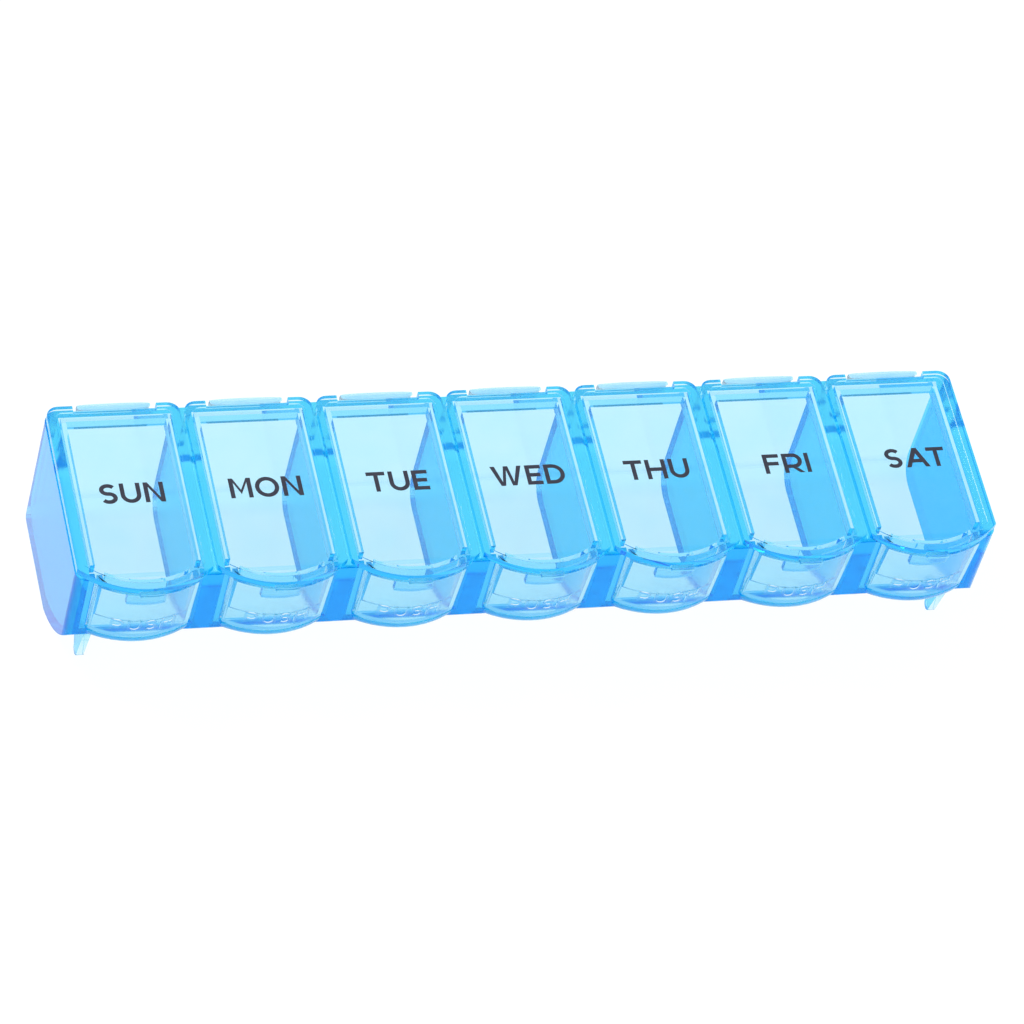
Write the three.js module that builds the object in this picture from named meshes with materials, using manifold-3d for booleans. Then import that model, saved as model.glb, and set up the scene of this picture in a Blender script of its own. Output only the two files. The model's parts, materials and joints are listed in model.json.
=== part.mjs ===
// Weekly push-open pill organizer: one tray with seven pockets in a row, and for each pocket
// a hinged lid, a thin hinge web behind it and a bowed push panel in front of it.
// Millimetres. X runs along the row, -Y is the front, +Z is up, Z = 0 is the table.

import * as THREE from 'three';
import { mergeVertices } from 'three/addons/utils/BufferGeometryUtils.js';
import Module from 'manifold-3d';

const wasm = await Module();
wasm.setup();

// ---------------------------------------------------------------- driving dimensions

const DAYS = ['sun', 'mon', 'tue', 'wed', 'thu', 'fri', 'sat'];
const PITCH = 22; // from one pocket to the next
const HEIGHT = 26.6; // table to the top of the lids
const WALL_DEPTH = 34.2; // rear face of the tray to its flat front face

const GAP = 0.3; // between pieces that touch or nearly touch
const WALL = 1.4; // rear wall
const PARTITION = 3.4; // between two pockets
const FRONT_WALL = 1.1;
const END_WALL = 1.2; // beyond the outermost partition faces
const FLOOR = 1.6;
const BELLY_WALL = 1.5; // under the slanted front floor
const REAR_CORNER = 3; // outside radius along the bottom of the rear wall
const POCKET_CORNER = 4; // inside radius there
const END_CORNER = 2; // outside radius of the four upright edges
const BELLY_START = 20.7; // flat bottom's depth, from the rear face
const BELLY_TOP = 11; // height of the flat front face's lower edge
const BELLY_BULGE = 1.4; // how far the belly bows out from a straight slant

const LID = 1.25; // thickness
const LID_GAP = 0.7; // between neighbouring lids
const LID_CORNER = 2; // rear corners
const LID_BOW_RADIUS = 16; // front edge
const LID_FRONT_LAP = 3.3; // the front edge's middle, ahead of the flat front face
const LID_STEP = 0.3; // the top's inner field lies this much below its border
const LID_BORDER = 1.3; // width of that border
const END_LAP = 0.7; // the two end lids' extra width outside
const SKIRT = 0.8; // thickness of the rim under a lid
const SKIRT_DROP = 2;
const SKIRT_SETBACK = 1.5; // from the front face's inside, clear of a pressed panel's flanges
const SKIRT_SUNK = 0.3; // how far the rim's walls run up into the lid's plate
const LIP_END_CLEARANCE = 0.4; // the rim's front stretch to the panel's side flanges
const TONGUE_WIDTH = 6.2;
const TONGUE_DROP = 4.6;
const TONGUE_CLEARANCE = 0.3; // tongue to the thickest of the panel at the tongue's tip
const TAB_WIDTH = 3.8; // fingernail lip at the middle of the front edge
const TAB_REACH = 0.9;
const TAB = 0.6;

const HINGE_WIDTH = 13.2;
const HINGE_NOTCH = 1.1; // depth of the cut in the lid's rear edge that the hinge fills
const HINGE_BARREL = 0.5; // radius
const HINGE_BEHIND = 0.3; // axis behind the rear face of the tray
const HINGE_DROP = 0.7; // axis below the top of the lids
const HINGE_WEB = 0.6;

const PANEL_HALF_WIDTH = 8.2;
const PANEL = 0.9;
const PANEL_FLANGE = 1; // how far its side flanges reach back from its edge
const PANEL_LEAN = 1; // how far the panel's foot stands back from its top
const PANEL_PROUD = 0.2; // ahead of the lid's edge at the top
const PAD_EXTRA = 0.4; // extra thickness of the lower, pressed half
const PAD_HEIGHT = 3.6;
const SILL = 1.6; // ledge under the panel
const SILL_ROUND = 2.8; // radius of the ledge's rounded underside

const FOOT = 1.35; // thickness
const FOOT_INSET = 4.3; // middle of the foot, from the end of the tray
const FOOT_TIP = 29.8; // its lowest point, from the rear face of the tray
const FOOT_TIP_RADIUS = 1.1;
const FOOT_ROOT = 6; // length along the belly
const FOOT_RAKE = 1; // how far its rear edge slants back

const OVERRUN = 1; // how far a cut runs past what it cuts
const ARC_STEPS = 20;
const CORNER_STEPS = 6;

// ---------------------------------------------------------------- values worked out from them

const HALF_ROW = (DAYS.length * PITCH) / 2;
const TRAY_HALF = HALF_ROW - PARTITION / 2 + END_WALL + GAP + END_LAP;
const TRAY_TOP = HEIGHT - LID - GAP;
const LID_FRONT = WALL_DEPTH + LID_FRONT_LAP;
const BOW_CENTRE = LID_FRONT - LID_BOW_RADIUS;
const PANEL_RADIUS = LID_BOW_RADIUS;
const PANEL_CENTRE = BOW_CENTRE + PANEL_PROUD;
const PANEL_TOP = TRAY_TOP;
const SILL_TOP = BELLY_TOP + SILL;
const PANEL_FOOT = SILL_TOP + GAP;
const PANEL_INNER_HALF = PANEL_HALF_WIDTH - PANEL;
const PANEL_EDGE = PANEL_CENTRE - PANEL_LEAN + Math.sqrt(PANEL_RADIUS ** 2 - PANEL_HALF_WIDTH ** 2);
const FLANGE_REAR = PANEL_EDGE - PANEL_FLANGE;
const WINDOW_HALF = PANEL_HALF_WIDTH + GAP;
const POCKET_HALF = (PITCH - PARTITION) / 2;
const POCKET_FRONT = WALL_DEPTH - FRONT_WALL;
const HINGE_Z = HEIGHT - HINGE_DROP;
const FRONTMOST = LID_FRONT + TAB_REACH;
const REARMOST = -HINGE_BEHIND - HINGE_BARREL;
// Depths below count from the rear face of the tray; this turns one into a Y.
const MID_DEPTH = (FRONTMOST + REARMOST) / 2;
const yAt = (depth) => MID_DEPTH - depth;

// ---------------------------------------------------------------- geometry helpers

// Points on a circle, from one angle to another in radians, both ends included.
function arc(centreX, centreY, radius, from, to, steps) {
  const points = [];
  for (let i = 0; i <= steps; i += 1) {
    const angle = from + ((to - from) * i) / steps;
    points.push([centreX + radius * Math.cos(angle), centreY + radius * Math.sin(angle)]);
  }
  return points;
}

// Points of the arc from a to b that bows out to the right of the way there.
function bowedArc(a, b, bulge, steps) {
  const chord = Math.hypot(b[0] - a[0], b[1] - a[1]);
  const radius = (chord * chord) / (8 * bulge) + bulge / 2;
  const along = [(b[0] - a[0]) / chord, (b[1] - a[1]) / chord];
  const right = [along[1], -along[0]];
  const back = radius - bulge;
  const centre = [
    (a[0] + b[0]) / 2 - right[0] * back,
    (a[1] + b[1]) / 2 - right[1] * back,
  ];
  const from = Math.atan2(a[1] - centre[1], a[0] - centre[0]);
  const half = Math.asin(chord / 2 / radius);
  return arc(centre[0], centre[1], radius, from, from + 2 * half, steps);
}

// A prism along Z of an outline given as [x, y] points, whichever way round it runs.
function prism(points, height) {
  const shape = new THREE.Shape(points.map(([x, y]) => new THREE.Vector2(x, y)));
  return new THREE.ExtrudeGeometry(shape, { depth: height, bevelEnabled: false });
}

// A plan outline of [x, depth] points, standing from height low to height high.
function plan(points, low, high) {
  const outline = points.map(([x, depth]) => [x, yAt(depth)]);
  return prism(outline, high - low).translate(0, 0, low);
}

// A side outline of [depth, height] points, running along X from low to high.
function side(points, low, high) {
  const outline = points.map(([depth, z]) => [yAt(depth), z]);
  const body = prism(outline, high - low);
  const turn = new THREE.Matrix4().makeBasis(
    new THREE.Vector3(0, 1, 0),
    new THREE.Vector3(0, 0, 1),
    new THREE.Vector3(1, 0, 0),
  );
  return body.applyMatrix4(turn).translate(low, 0, 0);
}

// A box from x0 to x1, between two depths and two heights.
function block(x0, x1, depth0, depth1, z0, z1) {
  return plan([[x0, depth0], [x1, depth0], [x1, depth1], [x0, depth1]], z0, z1);
}

// A solid through a stack of outlines with equally many points; each ring is { z, points }.
function loft(rings) {
  const count = rings[0].points.length;
  const corners = rings.map(({ z, points }) => points.map(([x, depth]) => [x, yAt(depth), z]));
  const positions = corners.flat(2);
  const lid = THREE.ShapeUtils.triangulateShape(
    rings[0].points.map(([x, depth]) => new THREE.Vector2(x, yAt(depth))),
    [],
  );
  const top = (rings.length - 1) * count;
  const indices = [];
  for (const [a, b, c] of lid) {
    indices.push(a, c, b);
    indices.push(top + a, top + b, top + c);
  }
  for (let ring = 0; ring < rings.length - 1; ring += 1) {
    for (let i = 0; i < count; i += 1) {
      const a = ring * count + i;
      const b = ring * count + ((i + 1) % count);
      indices.push(a, b, b + count);
      indices.push(a, b + count, a + count);
    }
  }
  const geometry = new THREE.BufferGeometry();
  geometry.setAttribute('position', new THREE.Float32BufferAttribute(positions, 3));
  geometry.setIndex(indices);
  return geometry;
}

// A closed geometry as a body that can be joined and cut.
function solid(geometry) {
  const bare = geometry.clone();
  bare.deleteAttribute('normal');
  bare.deleteAttribute('uv');
  const merged = mergeVertices(bare, 1e-5);
  return new wasm.Manifold(new wasm.Mesh({
    numProp: 3,
    vertProperties: Float32Array.from(merged.attributes.position.array),
    triVerts: Uint32Array.from(merged.index.array),
  }));
}

function geometryOf(body) {
  const mesh = body.getMesh();
  const geometry = new THREE.BufferGeometry();
  geometry.setAttribute('position', new THREE.BufferAttribute(mesh.vertProperties, 3));
  geometry.setIndex(new THREE.BufferAttribute(mesh.triVerts, 1));
  geometry.computeVertexNormals();
  return geometry;
}

// ---------------------------------------------------------------- outlines

// Side outline of the tray's body, grown outwards by a margin.
function bodyOutline(margin) {
  const rear = -margin;
  const front = WALL_DEPTH + margin;
  const corner = REAR_CORNER + margin;
  return [
    [rear, TRAY_TOP],
    ...arc(REAR_CORNER, REAR_CORNER, corner, Math.PI, 1.5 * Math.PI, CORNER_STEPS),
    ...bowedArc([BELLY_START, -margin], [front, BELLY_TOP - margin / 2], BELLY_BULGE, ARC_STEPS / 2),
    [front, TRAY_TOP],
  ];
}

// Side outline of a pocket's room, open at the top.
function pocketOutline() {
  const rear = WALL;
  const centre = [rear + POCKET_CORNER, FLOOR + POCKET_CORNER];
  const rampTop = BELLY_TOP + BELLY_WALL / 2;
  const rampStart = BELLY_START - BELLY_WALL;
  return [
    [rear, HEIGHT],
    ...arc(centre[0], centre[1], POCKET_CORNER, Math.PI, 1.5 * Math.PI, CORNER_STEPS),
    ...bowedArc([rampStart, FLOOR], [POCKET_FRONT, rampTop], BELLY_BULGE, ARC_STEPS / 2),
    [POCKET_FRONT, HEIGHT],
  ];
}

// Plan outline of the tray, with rounded corners at the rear and at the front.
function trayPlan() {
  const x = TRAY_HALF - END_CORNER;
  const front = WALL_DEPTH - END_CORNER;
  return [
    ...arc(-x, END_CORNER, END_CORNER, Math.PI, 1.5 * Math.PI, CORNER_STEPS),
    ...arc(x, END_CORNER, END_CORNER, 1.5 * Math.PI, 2 * Math.PI, CORNER_STEPS),
    ...arc(x, front, END_CORNER, 0, 0.5 * Math.PI, CORNER_STEPS),
    ...arc(-x, front, END_CORNER, 0.5 * Math.PI, Math.PI, CORNER_STEPS),
  ];
}

// The arc of a bowed front between two half-widths, as [x, depth] points from right to left.
function bow(centre, radius, halfWidth, steps) {
  const half = Math.asin(halfWidth / radius);
  return arc(0, centre, radius, Math.PI / 2 - half, Math.PI / 2 + half, steps);
}

// A lid's plan, drawn in by a margin; left and right are its two sides.
function lidPlan(left, right, margin) {
  const x0 = left + margin;
  const x1 = right - margin;
  const radius = LID_CORNER - margin / 2;
  const bowRadius = LID_BOW_RADIUS - margin;
  const from = Math.acos(Math.min(x1 / bowRadius, 1));
  const to = Math.acos(Math.max(x0 / bowRadius, -1));
  return [
    ...arc(x0 + radius, margin + radius, radius, Math.PI, 1.5 * Math.PI, CORNER_STEPS),
    ...arc(x1 - radius, margin + radius, radius, 1.5 * Math.PI, 2 * Math.PI, CORNER_STEPS),
    ...arc(0, BOW_CENTRE, bowRadius, from, to, ARC_STEPS),
  ];
}

// ---------------------------------------------------------------- sub-parts

// How far the panel's plan stands back from its top's at a height.
function panelLean(z) {
  return (PANEL_LEAN * (PANEL_TOP - z)) / (PANEL_TOP - PANEL_FOOT);
}

// The bowed ledge under a panel, rounded below.
function sill() {
  const rings = [];
  const reach = PANEL_CENTRE - PANEL_LEAN;
  const back = POCKET_FRONT - SILL_ROUND;
  for (let i = 0; i <= CORNER_STEPS; i += 1) {
    const angle = (Math.PI / 2) * (i / CORNER_STEPS);
    const drawn = SILL_ROUND * (1 - Math.sin(angle));
    const outer = bow(reach - drawn, PANEL_RADIUS, PANEL_HALF_WIDTH, ARC_STEPS);
    rings.push({
      z: SILL_TOP - SILL_ROUND * Math.cos(angle),
      points: [...outer, [-PANEL_HALF_WIDTH, back], [PANEL_HALF_WIDTH, back]].reverse(),
    });
  }
  return loft(rings);
}

// The body, with a rounded plan, a sill under each panel, and each pocket with its window cut out.
function makeTray(centres) {
  let tray = solid(side(bodyOutline(0), -TRAY_HALF, TRAY_HALF));
  tray = tray.intersect(solid(plan(trayPlan(), 0, TRAY_TOP)));
  const sillBody = solid(sill());
  for (const x of centres) {
    tray = tray.add(sillBody.translate([x, 0, 0]));
  }
  const windowRear = Math.min(FLANGE_REAR, POCKET_FRONT) - GAP;
  const window = block(
    -WINDOW_HALF, WINDOW_HALF, windowRear, LID_FRONT + OVERRUN, SILL_TOP, HEIGHT,
  );
  const room = solid(side(pocketOutline(), -POCKET_HALF, POCKET_HALF)).add(solid(window));
  for (const x of centres) {
    tray = tray.subtract(room.translate([x, 0, 0]));
  }
  return geometryOf(tray);
}

// A plate with a sunk field and a bowed front, a rim and a catch tongue below, and a fingernail tab.
function makeLid(left, right) {
  const under = HEIGHT - LID;
  const field = HEIGHT - LID_STEP;
  let lid = solid(plan(lidPlan(left, right, 0), under, HEIGHT));
  lid = lid.subtract(solid(plan(lidPlan(left, right, LID_BORDER), field, HEIGHT + OVERRUN)));

  const notch = HINGE_WIDTH / 2 + GAP;
  const cut = block(-notch, notch, -OVERRUN, HINGE_NOTCH, under - OVERRUN, HEIGHT + OVERRUN);
  lid = lid.subtract(solid(cut));

  const skirtHalf = POCKET_HALF - GAP;
  const skirtRear = WALL + GAP;
  const skirtFront = POCKET_FRONT - SKIRT_SETBACK;
  const skirtLow = under - SKIRT_DROP;
  const rim = block(-skirtHalf, skirtHalf, skirtRear, skirtFront, skirtLow, under + SKIRT_SUNK);
  const inner = skirtHalf - SKIRT;
  const hollow = block(-inner, inner, skirtRear + SKIRT, LID_FRONT, skirtLow - OVERRUN, under);
  lid = lid.add(solid(rim).subtract(solid(hollow)));

  const lipCentre = PANEL_CENTRE - panelLean(under - TONGUE_DROP);
  const lipRadius = PANEL_RADIUS - PANEL - PAD_EXTRA - TONGUE_CLEARANCE;
  const lip = (half, drop) => {
    const outline = [
      ...bow(lipCentre, lipRadius, half, ARC_STEPS / 2),
      ...bow(lipCentre, lipRadius - SKIRT, half, ARC_STEPS / 2).reverse(),
    ];
    return solid(plan(outline, under - drop, under + SKIRT_SUNK));
  };
  const lipHalf = PANEL_INNER_HALF - LIP_END_CLEARANCE;
  lid = lid.add(lip(lipHalf, SKIRT_DROP)).add(lip(TONGUE_WIDTH / 2, TONGUE_DROP));

  const tabHalf = TAB_WIDTH / 2;
  const tab = [
    ...bow(BOW_CENTRE + TAB_REACH, LID_BOW_RADIUS, tabHalf, CORNER_STEPS),
    ...bow(BOW_CENTRE - TAB_REACH, LID_BOW_RADIUS, tabHalf, CORNER_STEPS).reverse(),
  ];
  lid = lid.add(solid(plan(tab, under, under + TAB)));
  return geometryOf(lid);
}

// A barrel round the hinge line and a leaf from it into the lid's notch.
function makeHinge() {
  const leafEnd = HINGE_NOTCH - GAP;
  const top = HINGE_Z + HINGE_BARREL;
  const outline = [
    ...arc(-HINGE_BEHIND, HINGE_Z, HINGE_BARREL, Math.PI / 2, 2 * Math.PI, 2 * CORNER_STEPS),
    [HINGE_BARREL - HINGE_BEHIND, top - HINGE_WEB],
    [leafEnd, top - HINGE_WEB],
    [leafEnd, top],
  ];
  return side(outline, -HINGE_WIDTH / 2, HINGE_WIDTH / 2);
}

// The bowed panel with a flange at each side, thicker over its lower half.
function makePanel() {
  const ring = (z, thickness) => {
    const centre = PANEL_CENTRE - panelLean(z);
    const outer = bow(centre, PANEL_RADIUS, PANEL_HALF_WIDTH, ARC_STEPS);
    const inner = bow(centre, PANEL_RADIUS - thickness, PANEL_INNER_HALF, ARC_STEPS);
    const points = [
      ...outer,
      [-PANEL_HALF_WIDTH, FLANGE_REAR],
      [-PANEL_INNER_HALF, FLANGE_REAR],
      ...inner.reverse(),
      [PANEL_INNER_HALF, FLANGE_REAR],
      [PANEL_HALF_WIDTH, FLANGE_REAR],
    ];
    return { z, points: points.reverse() };
  };
  const padTop = PANEL_FOOT + PAD_HEIGHT;
  return loft([
    ring(PANEL_FOOT, PANEL + PAD_EXTRA),
    ring(padTop, PANEL + PAD_EXTRA),
    ring(padTop + PAD_EXTRA, PANEL),
    ring(PANEL_TOP, PANEL),
  ]);
}

// A fin from the belly down to the table; its root is cut to the belly with a gap.
function makeFoot() {
  const root = FOOT_TIP - FOOT_ROOT / 2;
  const outline = [
    ...arc(FOOT_TIP, FOOT_TIP_RADIUS, FOOT_TIP_RADIUS, Math.PI, 2 * Math.PI, 2 * CORNER_STEPS),
    [root + FOOT_ROOT, BELLY_TOP - SILL],
    [root - FOOT_RAKE, BELLY_TOP / 2],
  ];
  const foot = solid(side(outline, -FOOT / 2, FOOT / 2));
  const body = solid(side(bodyOutline(GAP), -FOOT, FOOT));
  return geometryOf(foot.subtract(body));
}

// ---------------------------------------------------------------- the assembly

function plastic(color, roughness) {
  return new THREE.MeshStandardMaterial({ color, roughness, metalness: 0 });
}

function piece(name, geometry, material) {
  const mesh = new THREE.Mesh(geometry, material);
  mesh.name = name;
  return mesh;
}

const organizer = new THREE.Group();
const centres = DAYS.map((_, i) => (i - (DAYS.length - 1) / 2) * PITCH);

organizer.add(piece('tray', makeTray(centres), plastic(0x4fb6f5, 0.25)));

DAYS.forEach((day, i) => {
  const half = (PITCH - LID_GAP) / 2;
  const left = i === 0 ? -half - END_LAP : -half;
  const right = i === DAYS.length - 1 ? half + END_LAP : half;
  const bay = new THREE.Group();
  bay.position.x = centres[i];
  bay.add(piece(`lid_${day}`, makeLid(left, right), plastic(0xbfe6fd, 0.18)));
  bay.add(piece(`hinge_${day}`, makeHinge(), plastic(0xd7f3fe, 0.3)));
  bay.add(piece(`push_panel_${day}`, makePanel(), plastic(0xa6d8fa, 0.22)));
  organizer.add(bay);
});

for (const [name, sign] of [['foot_left', -1], ['foot_right', 1]]) {
  const foot = piece(name, makeFoot(), plastic(0x4fb6f5, 0.25));
  foot.position.x = sign * (TRAY_HALF - FOOT_INSET);
  organizer.add(foot);
}

export default organizer;
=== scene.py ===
import json
import math

import bmesh
import bpy
from mathutils import Matrix, Vector
from mathutils.bvhtree import BVHTree


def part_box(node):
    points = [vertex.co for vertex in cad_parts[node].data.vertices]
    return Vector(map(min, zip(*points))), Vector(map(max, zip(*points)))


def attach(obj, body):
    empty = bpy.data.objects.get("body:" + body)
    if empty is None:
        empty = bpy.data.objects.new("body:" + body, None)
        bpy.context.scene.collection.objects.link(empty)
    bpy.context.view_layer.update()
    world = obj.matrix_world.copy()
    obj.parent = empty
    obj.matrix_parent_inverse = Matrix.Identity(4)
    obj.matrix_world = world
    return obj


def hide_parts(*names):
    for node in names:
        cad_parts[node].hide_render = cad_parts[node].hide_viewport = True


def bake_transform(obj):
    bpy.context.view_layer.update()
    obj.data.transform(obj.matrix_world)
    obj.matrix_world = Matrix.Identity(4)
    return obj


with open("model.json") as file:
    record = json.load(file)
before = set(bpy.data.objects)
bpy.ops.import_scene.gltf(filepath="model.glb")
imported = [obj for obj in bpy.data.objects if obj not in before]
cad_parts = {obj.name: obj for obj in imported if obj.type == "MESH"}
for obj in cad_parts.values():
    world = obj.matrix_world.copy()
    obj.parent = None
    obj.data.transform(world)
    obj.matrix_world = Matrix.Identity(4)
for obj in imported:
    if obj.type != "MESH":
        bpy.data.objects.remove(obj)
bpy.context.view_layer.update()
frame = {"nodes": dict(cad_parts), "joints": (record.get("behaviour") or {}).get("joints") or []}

# ------------------------------------------------------------------ sizes, in metres

MM = 0.001
DAYS = ["sun", "mon", "tue", "wed", "thu", "fri", "sat"]

EDGE = 0.22 * MM            # rounding of a moulded edge
LID_EDGE = 0.12 * MM        # the same on a lid
EDGE_STEPS = 2
SHARP = math.radians(28)    # a sharper edge than this gets rounded
SLIVER = 0.008 * MM         # points closer than this are one point
FLAT = math.radians(0.1)    # faces that meet at less than this are one flat face
JOIN = 0.02 * MM            # what is left between two pieces that touch
FOOT_REACH = 0.45 * MM      # a foot's points nearer to the tray than this move up to it
OFF = 5 * MM                # how far off a piece a ray starts

CAP_HEIGHT = 4.0 * MM       # day names
CAP_STROKE = 0.72 * MM
CAP_SPACE = 0.55 * MM       # between two letters
INK = 0.03 * MM             # thickness of the print
NAME_SHIFT = {"fri": 0.5 * MM, "sat": 1.05 * MM}   # print that landed to one side
NAME_DOWN = 0.469           # middle of a name, as a share of the lid's depth from the rear

PUSH_HEIGHT = 2.8 * MM      # raised word on a push panel
PUSH_STROKE = 0.45 * MM
PUSH_SPACE = 0.55 * MM
PUSH_RAISED = 0.2 * MM
PUSH_UP = 3.4 * MM          # middle of the word, above the panel's lower edge

WEB = 0.5 * MM              # thickness of a hinge web
WEB_INSIDE = 0.05 * MM      # how far its bend stays inside the frame's hinge
WEB_TAIL = 0.25 * MM        # how far it runs on into the lid's notch
WEB_SHARP = math.radians(50)

# ------------------------------------------------------------------ places, from the frame

joints = {joint["name"]: joint for joint in frame["joints"]}
_, tray_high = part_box("tray")


def day_centre(day):
    return joints["lid_hinge_" + day]["pos_m"][0]


def cad_hit(node, start, way):
    """Where a ray first meets a CAD node."""
    bm = bmesh.new()
    bm.from_mesh(frame["nodes"][node].data)
    surface = BVHTree.FromBMesh(bm)
    bm.free()
    point, _, _, _ = surface.ray_cast(start, way)
    return point


# The tray's flat front, found between the first two pockets near the top.
between = (day_centre("sun") + day_centre("mon")) / 2
FRONT_FACE = cad_hit("tray", Vector((between, -1, 0.8 * tray_high.z)), Vector((0, 1, 0))).y


# ------------------------------------------------------------------ camera

CAMERA_AZIMUTH = math.radians(-25.228)   # 0 looks along +Y
CAMERA_ELEVATION = math.radians(50.044)
CAMERA_ROLL = math.radians(17.160)
CAMERA_DISTANCE = 0.94490
CAMERA_TARGET = Vector((-0.21, 2.10, 14.82)) * MM
CAMERA_LENS = 201.62                     # mm, on a sensor 36 mm wide


def make_camera():
    data = bpy.data.cameras.new("camera")
    data.lens = CAMERA_LENS
    data.sensor_width = 36
    data.clip_start = 0.05
    data.clip_end = 20
    camera = bpy.data.objects.new("camera", data)
    bpy.context.scene.collection.objects.link(camera)
    flat = math.cos(CAMERA_ELEVATION)
    back = Vector((
        math.sin(CAMERA_AZIMUTH) * flat,
        -math.cos(CAMERA_AZIMUTH) * flat,
        math.sin(CAMERA_ELEVATION),
    ))
    turn = back.to_track_quat("Z", "Y").to_matrix().to_4x4()
    roll = Matrix.Rotation(CAMERA_ROLL, 4, "Z")
    camera.matrix_world = Matrix.Translation(CAMERA_TARGET + back * CAMERA_DISTANCE) @ turn @ roll
    bpy.context.scene.camera = camera


# ------------------------------------------------------------------ mesh helpers

def new_piece(name, bm):
    """An object in the scene made of a bmesh, which is used up."""
    mesh = bpy.data.meshes.new(name)
    bm.to_mesh(mesh)
    bm.free()
    piece = bpy.data.objects.new(name, mesh)
    bpy.context.scene.collection.objects.link(piece)
    return piece


def cad_copy(node):
    """A frame node's mesh without slivers, as a bmesh."""
    bm = bmesh.new()
    bm.from_mesh(frame["nodes"][node].data)
    bmesh.ops.remove_doubles(bm, verts=bm.verts, dist=SLIVER)
    bmesh.ops.dissolve_degenerate(bm, edges=bm.edges, dist=SLIVER)
    bmesh.ops.recalc_face_normals(bm, faces=bm.faces)
    return bm


def dissolve_flats(bm):
    bmesh.ops.dissolve_limit(
        bm, angle_limit=FLAT, verts=bm.verts, edges=bm.edges, use_dissolve_boundaries=False,
    )


def apply_modifiers(piece):
    bpy.context.view_layer.update()
    graph = bpy.context.evaluated_depsgraph_get()
    mesh = bpy.data.meshes.new_from_object(piece.evaluated_get(graph))
    piece.modifiers.clear()
    piece.data = mesh


def round_edges(piece, width):
    """Rounds the sharp edges and keeps the flats between them flat in the shading."""
    piece.data.shade_smooth()
    bevel = piece.modifiers.new("edges", "BEVEL")
    bevel.width = width
    bevel.segments = EDGE_STEPS
    bevel.limit_method = "ANGLE"
    bevel.angle_limit = SHARP
    bevel.use_clamp_overlap = True
    level = piece.modifiers.new("level", "WEIGHTED_NORMAL")
    level.mode = "FACE_AREA"
    level.keep_sharp = True
    apply_modifiers(piece)


def prism(bm, outline, low, high):
    """A closed prism of a plan outline of (x, y) points, from low to high."""
    area = sum(
        a[0] * b[1] - b[0] * a[1] for a, b in zip(outline, outline[1:] + outline[:1])
    )
    points = outline if area > 0 else outline[::-1]
    bottom = [bm.verts.new((x, y, low)) for x, y in points]
    top = [bm.verts.new((x, y, high)) for x, y in points]
    bm.faces.new(bottom[::-1])
    bm.faces.new(top)
    for i in range(len(points)):
        j = (i + 1) % len(points)
        bm.faces.new((bottom[i], bottom[j], top[j], top[i]))


def band(bm, spine, width, low, high, closed=False):
    """A closed strip of even width along a line of (x, y) points, from low to high."""
    count = len(spine)
    rows = []
    for i, (x, y) in enumerate(spine):
        before = spine[i - 1] if closed or i > 0 else spine[i]
        after = spine[(i + 1) % count] if closed or i < count - 1 else spine[i]
        along = Vector((after[0] - before[0], after[1] - before[1])).normalized()
        side = Vector((-along.y, along.x)) * width / 2
        rows.append([
            bm.verts.new((x + s * side.x, y + s * side.y, z))
            for s, z in ((-1, low), (1, low), (1, high), (-1, high))
        ])
    for i in range(count if closed else count - 1):
        a = rows[i]
        b = rows[(i + 1) % count]
        for k in range(4):
            m = (k + 1) % 4
            bm.faces.new((a[k], b[k], b[m], a[m]))
    if not closed:
        bm.faces.new(rows[0])
        bm.faces.new(rows[-1][::-1])


def arc_points(cx, cy, rx, ry, start, end, steps=14):
    """Points on an ellipse, with the angles in degrees."""
    points = []
    for i in range(steps + 1):
        angle = math.radians(start + (end - start) * i / steps)
        points.append((cx + rx * math.cos(angle), cy + ry * math.sin(angle)))
    return points


def islands(bm):
    """The faces of each separate shell."""
    left = set(bm.faces)
    while left:
        shell = [left.pop()]
        for face in shell:
            for edge in face.edges:
                for other in edge.link_faces:
                    if other in left:
                        left.remove(other)
                        shell.append(other)
        yield shell


def outward(bm):
    """All faces out, shell by shell, however thin a shell is."""
    bmesh.ops.recalc_face_normals(bm, faces=bm.faces)
    for shell in islands(bm):
        volume = sum(
            face.calc_center_median().dot(face.normal) * face.calc_area() for face in shell
        )
        if volume < 0:
            bmesh.ops.reverse_faces(bm, faces=shell)


# ------------------------------------------------------------------ lettering

# Each letter is drawn in a box that is one cap height high: h is the height, s the stroke.
# It adds its strokes to bm between low and high, and returns its width.

def letter_s(bm, h, s, low, high):
    w = 0.70 * h
    r = (h - s) / 4
    rx = (w - s) / 2
    top = arc_points(w / 2, h - s / 2 - r, rx, r, 32, 270, 18)
    bottom = arc_points(w / 2, s / 2 + r, rx, r, 90, -148, 18)
    band(bm, top + bottom[1:], s, low, high)
    return w


def letter_u(bm, h, s, low, high):
    w = 0.84 * h
    r = (w - s) / 2
    spine = [(s / 2, h)] + arc_points(w / 2, s / 2 + r, r, r, 180, 360, 20) + [(w - s / 2, h)]
    band(bm, spine, s, low, high)
    return w


def letter_n(bm, h, s, low, high):
    w = 0.82 * h
    d = 1.25 * s
    prism(bm, [(0, 0), (s, 0), (s, h - d), (s, h), (0, h)], low, high)
    prism(bm, [(w - s, 0), (w, 0), (w, h), (w - s, h)], low, high)
    prism(bm, [(s, h), (s, h - d), (w - s, 0), (w - s, d)], low, high)
    return w


def letter_m(bm, h, s, low, high):
    w = 0.92 * h
    v = 0.30 * h
    d = 1.2 * s
    prism(bm, [(0, 0), (s, 0), (s, h), (0, h)], low, high)
    prism(bm, [(w - s, 0), (w, 0), (w, h), (w - s, h)], low, high)
    valley = [(s, h), (s, h - d), (w / 2, v - d / 2), (w - s, h - d), (w - s, h), (w / 2, v + d / 2)]
    prism(bm, valley, low, high)
    return w


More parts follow.
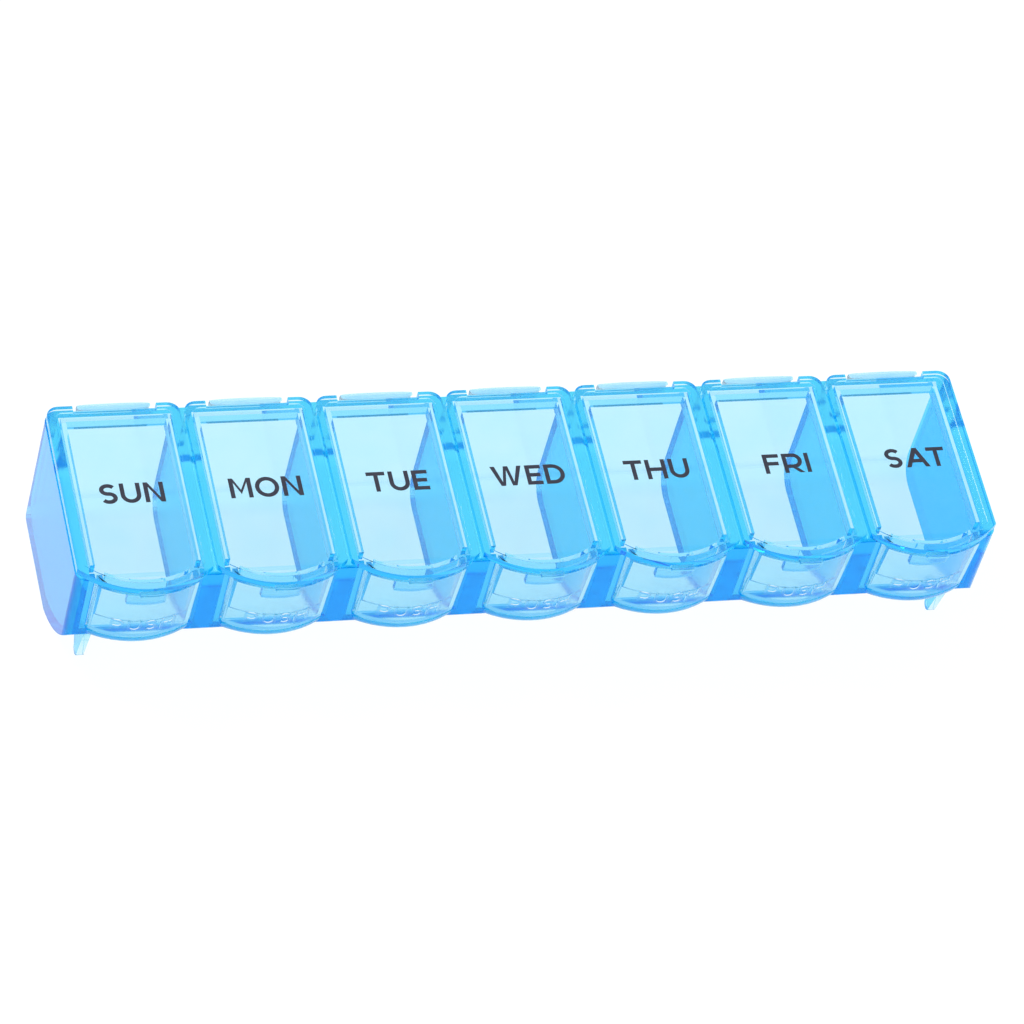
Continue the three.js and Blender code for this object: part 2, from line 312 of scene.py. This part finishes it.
def letter_o(bm, h, s, low, high):
    w = 0.99 * h
    ring = arc_points(w / 2, h / 2, (w - s) / 2, (h - s) / 2 + 0.01 * h, 0, 360, 40)
    band(bm, ring[:-1], s, low, high, closed=True)
    return w


def letter_t(bm, h, s, low, high):
    w = 0.78 * h
    prism(bm, [(0, h - s), (w, h - s), (w, h), (0, h)], low, high)
    prism(bm, [(w / 2 - s / 2, 0), (w / 2 + s / 2, 0), (w / 2 + s / 2, h - s), (w / 2 - s / 2, h - s)],
          low, high)
    return w


def arms(bm, s, low, high, reach):
    """Level arms out of a stem; each is (its lower edge, its length)."""
    for y, x in reach:
        prism(bm, [(s, y), (x, y), (x, y + s), (s, y + s)], low, high)


def stem(bm, x, h, s, low, high):
    prism(bm, [(x, 0), (x + s, 0), (x + s, h), (x, h)], low, high)


def letter_e(bm, h, s, low, high):
    w = 0.66 * h
    stem(bm, 0, h, s, low, high)
    arms(bm, s, low, high, [(0, w), ((h - s) / 2, 0.92 * w), (h - s, w)])
    return w


def letter_f(bm, h, s, low, high):
    w = 0.70 * h
    stem(bm, 0, h, s, low, high)
    arms(bm, s, low, high, [(0.42 * h, 0.92 * w), (h - s, w)])
    return w


def letter_h(bm, h, s, low, high):
    w = 0.86 * h
    stem(bm, 0, h, s, low, high)
    stem(bm, w - s, h, s, low, high)
    arms(bm, s, low, high, [((h - s) / 2, w - s)])
    return w


def letter_i(bm, h, s, low, high):
    stem(bm, 0, h, s, low, high)
    return s


def letter_w(bm, h, s, low, high):
    w = 1.32 * h
    lean = 0.245 * w
    d = 1.06 * s
    mid = w / 2
    prism(bm, [(0, h), (d, h), (lean + d / 2, d), (lean + d, 0), (lean, 0)], low, high)
    prism(bm, [(w, h), (w - d, h), (w - lean - d / 2, d), (w - lean - d, 0), (w - lean, 0)], low, high)
    prism(bm, [(lean + d, 0), (lean + d / 2, d), (mid - d / 2, h), (mid, h), (mid, h - d)], low, high)
    prism(bm, [(w - lean - d, 0), (w - lean - d / 2, d), (mid + d / 2, h), (mid, h), (mid, h - d)],
          low, high)
    return w


def letter_d(bm, h, s, low, high):
    w = 0.84 * h
    stem(bm, 0, h, s, low, high)
    r = (h - s) / 2
    x = w - s / 2 - r
    band(bm, [(s, h - s / 2)] + arc_points(x, h / 2, r, r, 90, -90, 22) + [(s, s / 2)], s, low, high)
    return w


def bowl(bm, w, h, s, base, low, high):
    """The upper loop of a P or an R, down to its lower arm's middle at base."""
    r = (h - s / 2 - base) / 2
    x = w - s / 2 - r
    y = base + r
    band(bm, [(s, h - s / 2)] + arc_points(x, y, r, r, 90, -90, 16) + [(s, base)], s, low, high)


def letter_r(bm, h, s, low, high):
    w = 0.84 * h
    base = 0.34 * h
    stem(bm, 0, h, s, low, high)
    bowl(bm, w, h, s, base, low, high)
    prism(bm, [(0.46 * w, base - s / 2), (0.46 * w + 1.2 * s, base - s / 2), (w + 0.1 * s, 0),
               (w - 1.1 * s, 0)], low, high)
    return w


def letter_p(bm, h, s, low, high):
    w = 0.76 * h
    stem(bm, 0, h, s, low, high)
    bowl(bm, w, h, s, 0.34 * h, low, high)
    return w


def letter_a(bm, h, s, low, high):
    w = 1.04 * h
    d = 1.08 * s
    mid = w / 2
    prism(bm, [(0, 0), (d, 0), (mid, h - 1.5 * d), (mid, h), (mid - d / 2, h)], low, high)
    prism(bm, [(w, 0), (w - d, 0), (mid, h - 1.5 * d), (mid, h), (mid + d / 2, h)], low, high)
    bar = 0.24 * h
    lean = (mid - d) / (h - 1.5 * d)
    x0 = d + bar * lean
    x1 = d + (bar + s) * lean
    prism(bm, [(x0, bar), (w - x0, bar), (w - x1, bar + s), (x1, bar + s)], low, high)
    return w


# What draws each letter.
LETTERS = {
    "S": letter_s, "U": letter_u, "N": letter_n, "M": letter_m, "O": letter_o, "T": letter_t,
    "E": letter_e, "W": letter_w, "D": letter_d, "H": letter_h, "F": letter_f, "R": letter_r,
    "I": letter_i, "A": letter_a, "P": letter_p,
}
TIGHT_PAIRS = ["AT"]
TIGHTER = 0.16                 # how much closer they stand, as a share of the height


def word_mesh(word, h, s, space, low, high):
    """The word's strokes as a bmesh, centred on X = 0, Y = 0."""
    bm = bmesh.new()
    x = 0
    for index, character in enumerate(word):
        if word[max(index - 1, 0):index + 1] in TIGHT_PAIRS:
            x -= TIGHTER * h
        first = len(bm.verts)
        width = LETTERS[character](bm, h, s, low, high)
        bm.verts.ensure_lookup_table()
        for vertex in bm.verts[first:]:
            vertex.co.x += x
        x += width + space
    for vertex in bm.verts:
        vertex.co.x -= (x - space) / 2
        vertex.co.y -= h / 2
    outward(bm)
    return bm


# ------------------------------------------------------------------ materials

def node_material(name):
    material = bpy.data.materials.new(name)
    material.use_nodes = True
    tree = material.node_tree
    shader = tree.nodes["Principled BSDF"]
    output = tree.nodes["Material Output"]
    return material, tree, shader, output


def noise(tree, scale, detail):
    place = tree.nodes.new("ShaderNodeTexCoord")
    texture = tree.nodes.new("ShaderNodeTexNoise")
    texture.inputs["Scale"].default_value = scale
    texture.inputs["Detail"].default_value = detail
    tree.links.new(place.outputs["Object"], texture.inputs["Vector"])
    return texture.outputs["Fac"]


def spread(tree, source, low, high):
    """The noise's middle range, mapped to low..high."""
    mapping = tree.nodes.new("ShaderNodeMapRange")
    mapping.inputs["From Min"].default_value = 0.3
    mapping.inputs["From Max"].default_value = 0.7
    mapping.inputs["To Min"].default_value = low
    mapping.inputs["To Max"].default_value = high
    tree.links.new(source, mapping.inputs["Value"])
    return mapping.outputs["Result"]


def surface_detail(tree, shader, rough, ripple_depth):
    """Uneven gloss and the slight ripple of a moulded face."""
    grain = noise(tree, 700, 4)
    uneven = spread(tree, grain, rough * 0.8, rough * 1.25)
    tree.links.new(uneven, shader.inputs["Roughness"])
    ripple = noise(tree, 60, 2)
    bump = tree.nodes.new("ShaderNodeBump")
    bump.inputs["Strength"].default_value = ripple_depth
    bump.inputs["Distance"].default_value = 0.1 * MM
    tree.links.new(ripple, bump.inputs["Height"])
    tree.links.new(bump.outputs["Normal"], shader.inputs["Normal"])


def colour_mix(tree, factor, a, b):
    """a, a colour or a socket, where the factor is 0, and the colour b where it is 1."""
    mix = tree.nodes.new("ShaderNodeMix")
    mix.data_type = "RGBA"
    if isinstance(a, tuple):
        mix.inputs["A"].default_value = (*a, 1)
    else:
        tree.links.new(a, mix.inputs["A"])
    mix.inputs["B"].default_value = (*b, 1)
    tree.links.new(factor, mix.inputs["Factor"])
    return mix.outputs["Result"]


def clouded(tree, pale, deep):
    """A colour that drifts a little between pale and deep."""
    cloud = noise(tree, 140, 3)
    return colour_mix(tree, spread(tree, cloud, 0, 1), deep, pale)


def arithmetic(tree, operation, *values):
    """A math node; each value is a number or a socket."""
    node = tree.nodes.new("ShaderNodeMath")
    node.operation = operation
    for index, value in enumerate(values):
        if isinstance(value, float):
            node.inputs[index].default_value = value
        else:
            tree.links.new(value, node.inputs[index])
    return node.outputs["Value"]


def split(tree, vector):
    """The X, Y and Z of a vector socket."""
    parts = tree.nodes.new("ShaderNodeSeparateXYZ")
    tree.links.new(vector, parts.inputs["Vector"])
    return parts.outputs


def paint_wall_shade(tree, tint, wall_shade, gate, band):
    """Painted shade: gated faces take the wall colour, and the tray's flat front and its two ends take
    the band's. Both are a deeper blue painted on for the darkening of light's long way through walls
    seen edge-on.
    """
    place = tree.nodes.new("ShaderNodeTexCoord")
    axis, start, full = gate
    gated = tree.nodes.new("ShaderNodeMapRange")
    gated.inputs["From Min"].default_value = start
    gated.inputs["From Max"].default_value = full
    facing = arithmetic(tree, "ABSOLUTE", split(tree, place.outputs["Normal"])[axis])
    tree.links.new(facing, gated.inputs["Value"])
    # painted shade: the gated faces get the deeper wall colour
    shaded_walls = colour_mix(tree, gated.outputs["Result"], tint, wall_shade)
    spot = split(tree, place.outputs["Object"])
    front = arithmetic(tree, "COMPARE", spot["Y"], FRONT_FACE, EDGE)
    end = arithmetic(tree, "COMPARE", arithmetic(tree, "ABSOLUTE", spot["X"]), tray_high.x, EDGE)
    # painted shade: the tray's flat front and its two ends get the deeper band colour
    return colour_mix(tree, arithmetic(tree, "MAXIMUM", front, end), shaded_walls, band)


def dye_volume(tree, output, density):
    """The dye takes light out by the length that it travels inside."""
    volume = tree.nodes.new("ShaderNodeVolumeAbsorption")
    volume.inputs["Color"].default_value = (*DYE, 1)
    volume.inputs["Density"].default_value = density
    tree.links.new(volume.outputs["Volume"], output.inputs["Volume"])


def bending_plastic(name, rough, ripple, pale, deep, wall_shade, gate, band, gloss):
    """Clear moulded plastic: its colour is that of one wall, and the dye adds what a long way takes;
    edge-on faces, the tray's flat front and its ends are painted a deeper blue as painted shade.
    """
    material, tree, shader, output = node_material(name)
    shader.inputs["IOR"].default_value = REFRACTION
    shader.inputs["Transmission Weight"].default_value = 1
    shader.inputs["Specular Tint"].default_value = (*gloss, 1)
    colour = paint_wall_shade(tree, clouded(tree, pale, deep), wall_shade, gate, band)
    tree.links.new(colour, shader.inputs["Base Color"])
    surface_detail(tree, shader, rough, ripple)
    dye_volume(tree, output, DYE_STRENGTH)
    return material


def web_plastic():
    """Dyed plastic seen straight through, a little milky, with a gloss that grows towards grazing."""
    material, tree, shader, output = node_material("web_plastic")
    shader.inputs["IOR"].default_value = WEB_REFRACTION
    colour = clouded(tree, (0.80, 0.95, 1.0), (0.62, 0.88, 1.0))
    tree.links.new(colour, shader.inputs["Base Color"])
    surface_detail(tree, shader, 0.25, 0.06)
    clear = tree.nodes.new("ShaderNodeBsdfTransparent")
    clear.inputs["Color"].default_value = (0.97, 0.985, 1, 1)
    facing = tree.nodes.new("ShaderNodeLayerWeight")
    facing.inputs["Blend"].default_value = 0.5
    share = tree.nodes.new("ShaderNodeMapRange")
    share.inputs["To Min"].default_value = 0.5      # milkiness straight on
    share.inputs["To Max"].default_value = 0.7      # and at grazing
    edge_on = arithmetic(tree, "POWER", facing.outputs["Facing"], 5.0)
    tree.links.new(edge_on, share.inputs["Value"])
    mix = tree.nodes.new("ShaderNodeMixShader")
    tree.links.new(share.outputs["Result"], mix.inputs["Fac"])
    tree.links.new(clear.outputs["BSDF"], mix.inputs[1])
    tree.links.new(shader.outputs["BSDF"], mix.inputs[2])
    tree.links.new(mix.outputs["Shader"], output.inputs["Surface"])
    dye_volume(tree, output, WEB_DYE_STRENGTH)
    return material


def ink():
    material, tree, shader, _ = node_material("day_ink")
    speck = noise(tree, 900, 4)
    ramp = tree.nodes.new("ShaderNodeValToRGB")
    ramp.color_ramp.elements[0].color = (0.050, 0.030, 0.038, 1)
    ramp.color_ramp.elements[1].color = (0.085, 0.052, 0.062, 1)
    shader.inputs["Specular IOR Level"].default_value = 0.2
    tree.links.new(speck, ramp.inputs["Fac"])
    tree.links.new(ramp.outputs["Color"], shader.inputs["Base Color"])
    tree.links.new(spread(tree, speck, 0.35, 0.5), shader.inputs["Roughness"])
    return material


DYE = (0.0, 0.87, 0.999)       # what the dye lets through of each colour
DYE_STRENGTH = 70              # per metre
WEB_DYE_STRENGTH = 90
REFRACTION = 1.38              # low enough for light to leave the corners it would be trapped in
WEB_REFRACTION = 1.49
# Painted shade: faces these gates pick take the wall colour, and the tray's flat front and two ends the
# band colour, a deeper blue than the plastic's own.
ALONG_ROW = ("X", 0.3, 0.7)    # faces whose normal has a large X
UPRIGHT = ("Z", 0.7, 0.3)      # faces whose normal has a small Z
TRAY_PLASTIC = bending_plastic(
    "tray_plastic", rough=0.1, ripple=0.03, pale=(0.83, 0.95, 1.0), deep=(0.77, 0.935, 1.0),
    wall_shade=(0.13, 0.70, 1.0), gate=ALONG_ROW, band=(0.015, 0.42, 1.0), gloss=(0.4, 0.75, 1.0),
)
# The upright faces of the lids and panels are painted a deeper blue as painted shade.
LID_PLASTIC = bending_plastic(
    "lid_plastic", rough=0.004, ripple=0.02, pale=(0.84, 0.945, 1.0), deep=(0.80, 0.93, 1.0),
    wall_shade=(0.52, 0.87, 1.0), gate=UPRIGHT, band=(0.52, 0.87, 1.0), gloss=(0.9, 0.97, 1.0),
)
PANEL_PLASTIC = bending_plastic(
    "panel_plastic", rough=0.12, ripple=0.01, pale=(0.82, 0.93, 1.0), deep=(0.76, 0.91, 1.0),
    wall_shade=(0.60, 0.86, 1.0), gate=UPRIGHT, band=(0.60, 0.86, 1.0), gloss=(0.9, 0.97, 1.0),
)
WEB_PLASTIC = web_plastic()
INK_BLACK = ink()


def coat(piece, material):
    piece.data.materials.clear()
    piece.data.materials.append(material)


# ------------------------------------------------------------------ pieces

def make_tray():
    bm = cad_copy("tray")
    dissolve_flats(bm)
    tray = new_piece("tray_shell", bm)
    round_edges(tray, EDGE)
    coat(tray, TRAY_PLASTIC)
    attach(tray, "base")
    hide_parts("tray")
    return tray


def make_foot(node, tray):
    bm = cad_copy(node)
    surface = BVHTree.FromObject(tray, bpy.context.evaluated_depsgraph_get())
    for vertex in bm.verts:
        point, _, _, distance = surface.find_nearest(vertex.co)
        if distance < FOOT_REACH:
            vertex.co = point + (vertex.co - point).normalized() * JOIN
    dissolve_flats(bm)
    foot = new_piece(node + "_fin", bm)
    round_edges(foot, EDGE)
    coat(foot, TRAY_PLASTIC)
    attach(foot, "base")
    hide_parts(node)


def make_lid(day):
    bm = cad_copy("lid_" + day)
    dissolve_flats(bm)
    lid = new_piece("lid_plate_" + day, bm)
    round_edges(lid, LID_EDGE)
    coat(lid, LID_PLASTIC)
    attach(lid, "lid_body_" + day)
    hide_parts("lid_" + day)


def lid_field_height(day):
    """Height of the lid's inner field: a ray straight down onto the middle of the CAD lid."""
    low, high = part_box("lid_" + day)
    above = Vector((day_centre(day), (low.y + high.y) / 2, high.z + OFF))
    return cad_hit("lid_" + day, above, Vector((0, 0, -1))).z


def make_name(day):
    low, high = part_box("lid_" + day)
    bm = word_mesh(day.upper(), CAP_HEIGHT, CAP_STROKE, CAP_SPACE, 0, INK)
    name = new_piece("name_" + day, bm)
    y = high.y - NAME_DOWN * (high.y - low.y)
    x = day_centre(day) + NAME_SHIFT.get(day, 0)
    name.data.transform(Matrix.Translation((x, y, lid_field_height(day) + JOIN / 2)))
    name.data.materials.append(INK_BLACK)
    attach(name, "lid_body_" + day)


def make_web(day):
    """A thin strip from the top of the rear wall round the hinge line into the lid's notch."""
    joint = joints["lid_hinge_" + day]
    low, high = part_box("hinge_" + day)
    hinge = Vector(joint["pos_m"])
    wall_y = tray_high.y
    reach = high.y - WEB_INSIDE - hinge.y
    top = high.z
    # The strip's middle line as (Y, Z): up behind the wall, round the hinge line and forward.
    path = [
        (wall_y + JOIN, tray_high.z - 0.75 * MM),
        (wall_y + 0.45 * reach, tray_high.z - 0.45 * MM),
        (hinge.y + 0.80 * reach, tray_high.z + 0.05 * MM),
        (hinge.y + reach - WEB / 2, hinge.z - 0.25 * MM),
        (hinge.y + reach - 0.55 * WEB, hinge.z + 0.05 * MM),
        (hinge.y + 0.35 * reach, top - 0.62 * WEB),
        (hinge.y - 0.2 * MM, top - WEB / 2),
        (low.y - WEB_TAIL, top - WEB / 2),
    ]
    bm = bmesh.new()
    band(bm, path, WEB, low.x, high.x)
    x_up = Matrix(((0, 0, 1, 0), (1, 0, 0, 0), (0, 1, 0, 0), (0, 0, 0, 1)))
    bmesh.ops.transform(bm, matrix=x_up, verts=bm.verts)
    outward(bm)
    web = new_piece("web_" + day, bm)
    smooth = web.modifiers.new("smooth", "SUBSURF")
    smooth.levels = 2
    smooth.boundary_smooth = "PRESERVE_CORNERS"
    apply_modifiers(web)
    web.data.shade_smooth()
    web.data.set_sharp_from_angle(angle=WEB_SHARP)
    coat(web, WEB_PLASTIC)
    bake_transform(web)
    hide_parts("hinge_" + day)


def make_panel(day):
    bm = cad_copy("push_panel_" + day)
    dissolve_flats(bm)
    panel = new_piece("panel_" + day, bm)
    round_edges(panel, EDGE)
    coat(panel, PANEL_PLASTIC)
    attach(panel, "panel_body_" + day)
    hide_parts("push_panel_" + day)
    return panel


def make_push_word(day, panel):
    """The raised word, bent onto the panel's outer face."""
    low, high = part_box("push_panel_" + day)
    surface = BVHTree.FromObject(panel, bpy.context.evaluated_depsgraph_get())
    bm = word_mesh("PUSH", PUSH_HEIGHT, PUSH_STROKE, PUSH_SPACE, 0, PUSH_RAISED)
    for vertex in bm.verts:
        x = day_centre(day) + vertex.co.x
        z = low.z + PUSH_UP + vertex.co.y
        lift = vertex.co.z
        point, normal, _, _ = surface.ray_cast(Vector((x, low.y - OFF, z)), Vector((0, 1, 0)))
        vertex.co = point + normal * (lift + JOIN)
    word = new_piece("push_word_" + day, bm)
    coat(word, PANEL_PLASTIC)
    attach(word, "panel_body_" + day)


# ------------------------------------------------------------------ studio

FLOOR_HALF = 3                 # metres
KEY_PLACE = (-0.5, 0.5, 0.9)   # metres, behind the row and above it
KEY_AIM = (0, 0, 0.01)
KEY_SIZE = 0.5                 # metres
KEY_POWER = 6                  # watts
LIGHT_BOUNCES = 96             # enough for light to find its way out of thick plastic


def make_floor():
    bm = bmesh.new()
    bmesh.ops.create_grid(bm, x_segments=1, y_segments=1, size=FLOOR_HALF)
    floor = new_piece("floor", bm)
    floor.location.z = -JOIN
    material, _, shader, _ = node_material("floor_table")
    shader.inputs["Base Color"].default_value = (0.1, 0.1, 0.1, 1)
    shader.inputs["Roughness"].default_value = 0.9
    shader.inputs["Emission Color"].default_value = (1, 1, 1, 1)
    shader.inputs["Emission Strength"].default_value = 0.96
    floor.data.materials.append(material)


def make_key_light():
    """A soft lamp from behind; it gives highlights, but isn't seen through the plastic."""
    data = bpy.data.lights.new("key", "AREA")
    data.shape = "SQUARE"
    data.size = KEY_SIZE
    data.energy = KEY_POWER
    light = bpy.data.objects.new("key", data)
    bpy.context.scene.collection.objects.link(light)
    light.visible_transmission = False
    turn = (Vector(KEY_PLACE) - Vector(KEY_AIM)).to_track_quat("Z", "Y").to_matrix().to_4x4()
    light.matrix_world = Matrix.Translation(KEY_PLACE) @ turn


def make_surroundings():
    world = bpy.data.worlds.new("studio")
    bpy.context.scene.world = world
    world.use_nodes = True
    background = world.node_tree.nodes["Background"]
    background.inputs["Color"].default_value = (0.40, 0.78, 1, 1)
    background.inputs["Strength"].default_value = 1.0
    bpy.context.scene.view_settings.view_transform = "Standard"
    paths = bpy.context.scene.cycles
    paths.max_bounces = LIGHT_BOUNCES
    paths.transmission_bounces = LIGHT_BOUNCES
    paths.glossy_bounces = LIGHT_BOUNCES
    paths.transparent_max_bounces = 64


# ------------------------------------------------------------------ the scene

make_camera()
make_floor()
make_key_light()
make_surroundings()
tray_shell = make_tray()
make_foot("foot_left", tray_shell)
make_foot("foot_right", tray_shell)
for day_name in DAYS:
    make_lid(day_name)
    make_name(day_name)
    make_web(day_name)
    make_push_word(day_name, make_panel(day_name))
